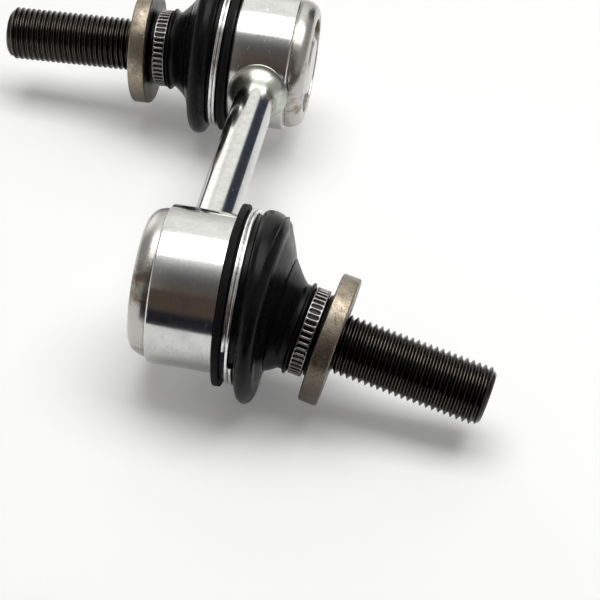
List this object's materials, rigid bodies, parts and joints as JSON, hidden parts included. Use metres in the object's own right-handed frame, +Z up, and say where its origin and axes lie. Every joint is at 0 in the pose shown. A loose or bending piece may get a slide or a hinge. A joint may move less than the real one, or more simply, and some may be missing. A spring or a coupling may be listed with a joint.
{
  "type": "stabilizer link",
  "caption": "Short steel stabilizer link: a round rod between turned ball joint housings, with flanged threaded studs to opposite sides and clipped rubber boots.",
  "frame": {"origin": "under the middle of the link, on the surface that it lies on", "axes": "+X along the near housing axis towards the near stud, +Y along the rod from the near end to the far end, +Z up"},
  "size_m": [0.1226, 0.1274, 0.0392],
  "materials": {
    "zinc": "bright zinc plate on turned steel",
    "cover": "stamped plate, zinc",
    "weld": "weld fillet under zinc plate",
    "seat": "moulded acetal",
    "stud": "dark oxide on rolled thread, brown bare flange",
    "rubber": "satin moulded rubber",
    "wire": "bright spring wire",
    "ring": "knurled steel"
  },
  "bodies": {
    "link": {"link_rod": "zinc", "near_weld": "weld", "far_weld": "weld", "near_housing": "zinc", "near_end_cover": "cover", "near_front_seat": "seat", "near_rear_seat": "seat", "near_boot_clip": "wire", "far_housing": "zinc", "far_end_cover": "cover", "far_front_seat": "seat", "far_rear_seat": "seat", "far_boot_clip": "wire"},
    "near_boot": {"near_dust_boot": "rubber"},
    "near_ring": {"near_neck_ring": "ring"},
    "near_stud": {"near_ball_stud": "stud"},
    "far_boot": {"far_dust_boot": "rubber"},
    "far_ring": {"far_neck_ring": "ring"},
    "far_stud": {"far_ball_stud": "stud"}
  },
  "joints": [
    {"name": "near_swing", "type": "hinge", "parent": "link", "child": "near_boot", "pos_m": [0.00016, -0.04356, 0.02063], "axis": [1, 0, 0], "continuous": true},
    {"name": "near_tilt", "type": "hinge", "parent": "near_boot", "child": "near_ring", "pos_m": [0.00016, -0.04356, 0.02063], "axis": [0, 0.8387, -0.5446], "range_deg": [-35.5, 14.5], "deforming": ["near_dust_boot"]},
    {"name": "near_spin", "type": "hinge", "parent": "near_ring", "child": "near_stud", "pos_m": [0.00016, -0.04356, 0.02063], "axis": [0.9833, -0.0993, -0.1528], "continuous": true},
    {"name": "far_swing", "type": "hinge", "parent": "link", "child": "far_boot", "pos_m": [0.00016, 0.04444, 0.02063], "axis": [-1, 0, 0], "continuous": true},
    {"name": "far_tilt", "type": "hinge", "parent": "far_boot", "child": "far_ring", "pos_m": [0.00016, 0.04444, 0.02063], "axis": [0, -1, 0], "range_deg": [-29, 21], "deforming": ["far_dust_boot"]},
    {"name": "far_spin", "type": "hinge", "parent": "far_ring", "child": "far_stud", "pos_m": [0.00016, 0.04444, 0.02063], "axis": [-0.9976, 0, -0.0698], "continuous": true}
  ]
}
